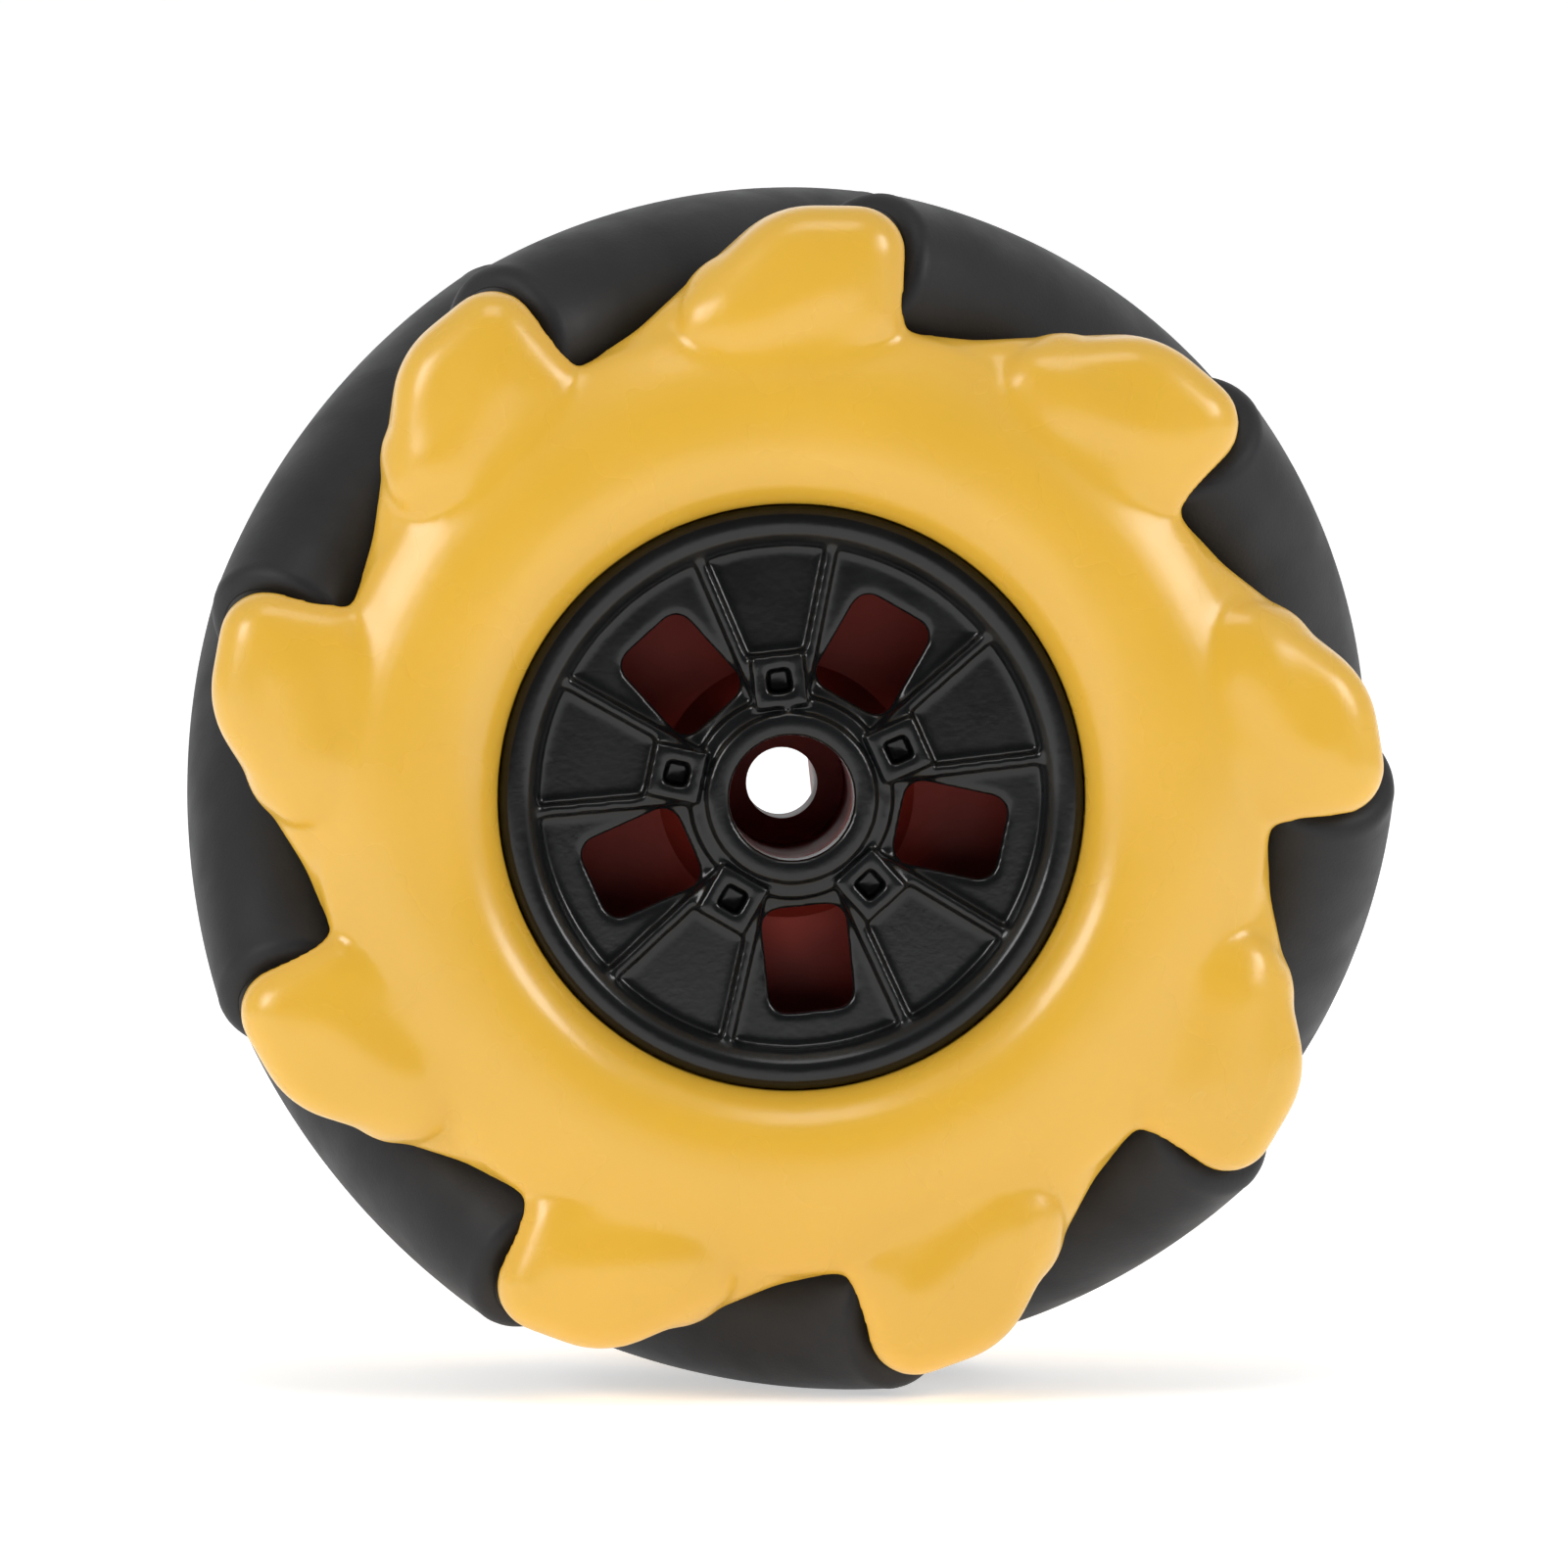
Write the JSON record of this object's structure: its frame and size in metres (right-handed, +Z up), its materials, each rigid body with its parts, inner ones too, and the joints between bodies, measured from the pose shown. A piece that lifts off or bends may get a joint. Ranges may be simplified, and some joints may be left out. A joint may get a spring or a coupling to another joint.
{
  "type": "mecanum wheel",
  "caption": "Mecanum wheel: barrel rollers at 45 degrees between two claw rings, clamped by a spoked two-part hub with a double-D motor shaft socket.",
  "frame": {"origin": "the wheel's centre: on the axle, halfway between the two outer faces", "axes": "+Y along the axle towards the motor (the pictured outer face looks along -Y), +Z up, X level"},
  "size_m": [0.0601, 0.031, 0.06],
  "materials": {
    "yellow_plastic": "glossy moulded ABS, golden yellow",
    "black_plastic": "glossy moulded plastic, black",
    "red_plastic": "moulded plastic, dark red",
    "rubber": "satin moulded rubber, black",
    "roller_plastic": "hard plastic, black",
    "washer_plastic": "nylon, black",
    "steel": "drawn steel, bright"
  },
  "bodies": {
    "wheel": {"front_claw_ring": "yellow_plastic", "rear_claw_ring": "yellow_plastic", "front_hub": "black_plastic", "rear_hub": "black_plastic", "shaft_core": "red_plastic", "hub_screws": "steel", "roller_pin_1": "steel", "thrust_washers_1": "washer_plastic", "roller_pin_2": "steel", "thrust_washers_2": "washer_plastic", "roller_pin_3": "steel", "thrust_washers_3": "washer_plastic", "roller_pin_4": "steel", "thrust_washers_4": "washer_plastic", "roller_pin_5": "steel", "thrust_washers_5": "washer_plastic", "roller_pin_6": "steel", "thrust_washers_6": "washer_plastic", "roller_pin_7": "steel", "thrust_washers_7": "washer_plastic", "roller_pin_8": "steel", "thrust_washers_8": "washer_plastic", "roller_pin_9": "steel", "thrust_washers_9": "washer_plastic"},
    "roller_1": {"roller_tread_1": "rubber", "roller_core_1": "roller_plastic"},
    "roller_2": {"roller_tread_2": "rubber", "roller_core_2": "roller_plastic"},
    "roller_3": {"roller_tread_3": "rubber", "roller_core_3": "roller_plastic"},
    "roller_4": {"roller_tread_4": "rubber", "roller_core_4": "roller_plastic"},
    "roller_5": {"roller_tread_5": "rubber", "roller_core_5": "roller_plastic"},
    "roller_6": {"roller_tread_6": "rubber", "roller_core_6": "roller_plastic"},
    "roller_7": {"roller_tread_7": "rubber", "roller_core_7": "roller_plastic"},
    "roller_8": {"roller_tread_8": "rubber", "roller_core_8": "roller_plastic"},
    "roller_9": {"roller_tread_9": "rubber", "roller_core_9": "roller_plastic"}
  },
  "joints": [
    {"name": "roller_1_spin", "type": "hinge", "parent": "wheel", "child": "roller_1", "pos_m": [0.01183, 0, 0.02134], "axis": [0.6184, 0.7071, -0.3428], "continuous": true},
    {"name": "roller_2_spin", "type": "hinge", "parent": "wheel", "child": "roller_2", "pos_m": [0.02278, 0, 0.00874], "axis": [0.2534, 0.7071, -0.6601], "continuous": true},
    {"name": "roller_3_spin", "type": "hinge", "parent": "wheel", "child": "roller_3", "pos_m": [0.02307, 0, -0.00794], "axis": [-0.2302, 0.7071, -0.6686], "continuous": true},
    {"name": "roller_4_spin", "type": "hinge", "parent": "wheel", "child": "roller_4", "pos_m": [0.01257, 0, -0.02091], "axis": [-0.6061, 0.7071, -0.3642], "continuous": true},
    {"name": "roller_5_spin", "type": "hinge", "parent": "wheel", "child": "roller_5", "pos_m": [-0.00382, 0, -0.0241], "axis": [-0.6984, 0.7071, 0.1106], "continuous": true},
    {"name": "roller_6_spin", "type": "hinge", "parent": "wheel", "child": "roller_6", "pos_m": [-0.01841, 0, -0.01601], "axis": [-0.4639, 0.7071, 0.5337], "continuous": true},
    {"name": "roller_7_spin", "type": "hinge", "parent": "wheel", "child": "roller_7", "pos_m": [-0.0244, 0, -0.00043], "axis": [-0.0123, 0.7071, 0.707], "continuous": true},
    {"name": "roller_8_spin", "type": "hinge", "parent": "wheel", "child": "roller_8", "pos_m": [-0.01896, 0, 0.01536], "axis": [0.445, 0.7071, 0.5495], "continuous": true},
    {"name": "roller_9_spin", "type": "hinge", "parent": "wheel", "child": "roller_9", "pos_m": [-0.00466, 0, 0.02395], "axis": [0.6941, 0.7071, 0.1349], "continuous": true}
  ]
}
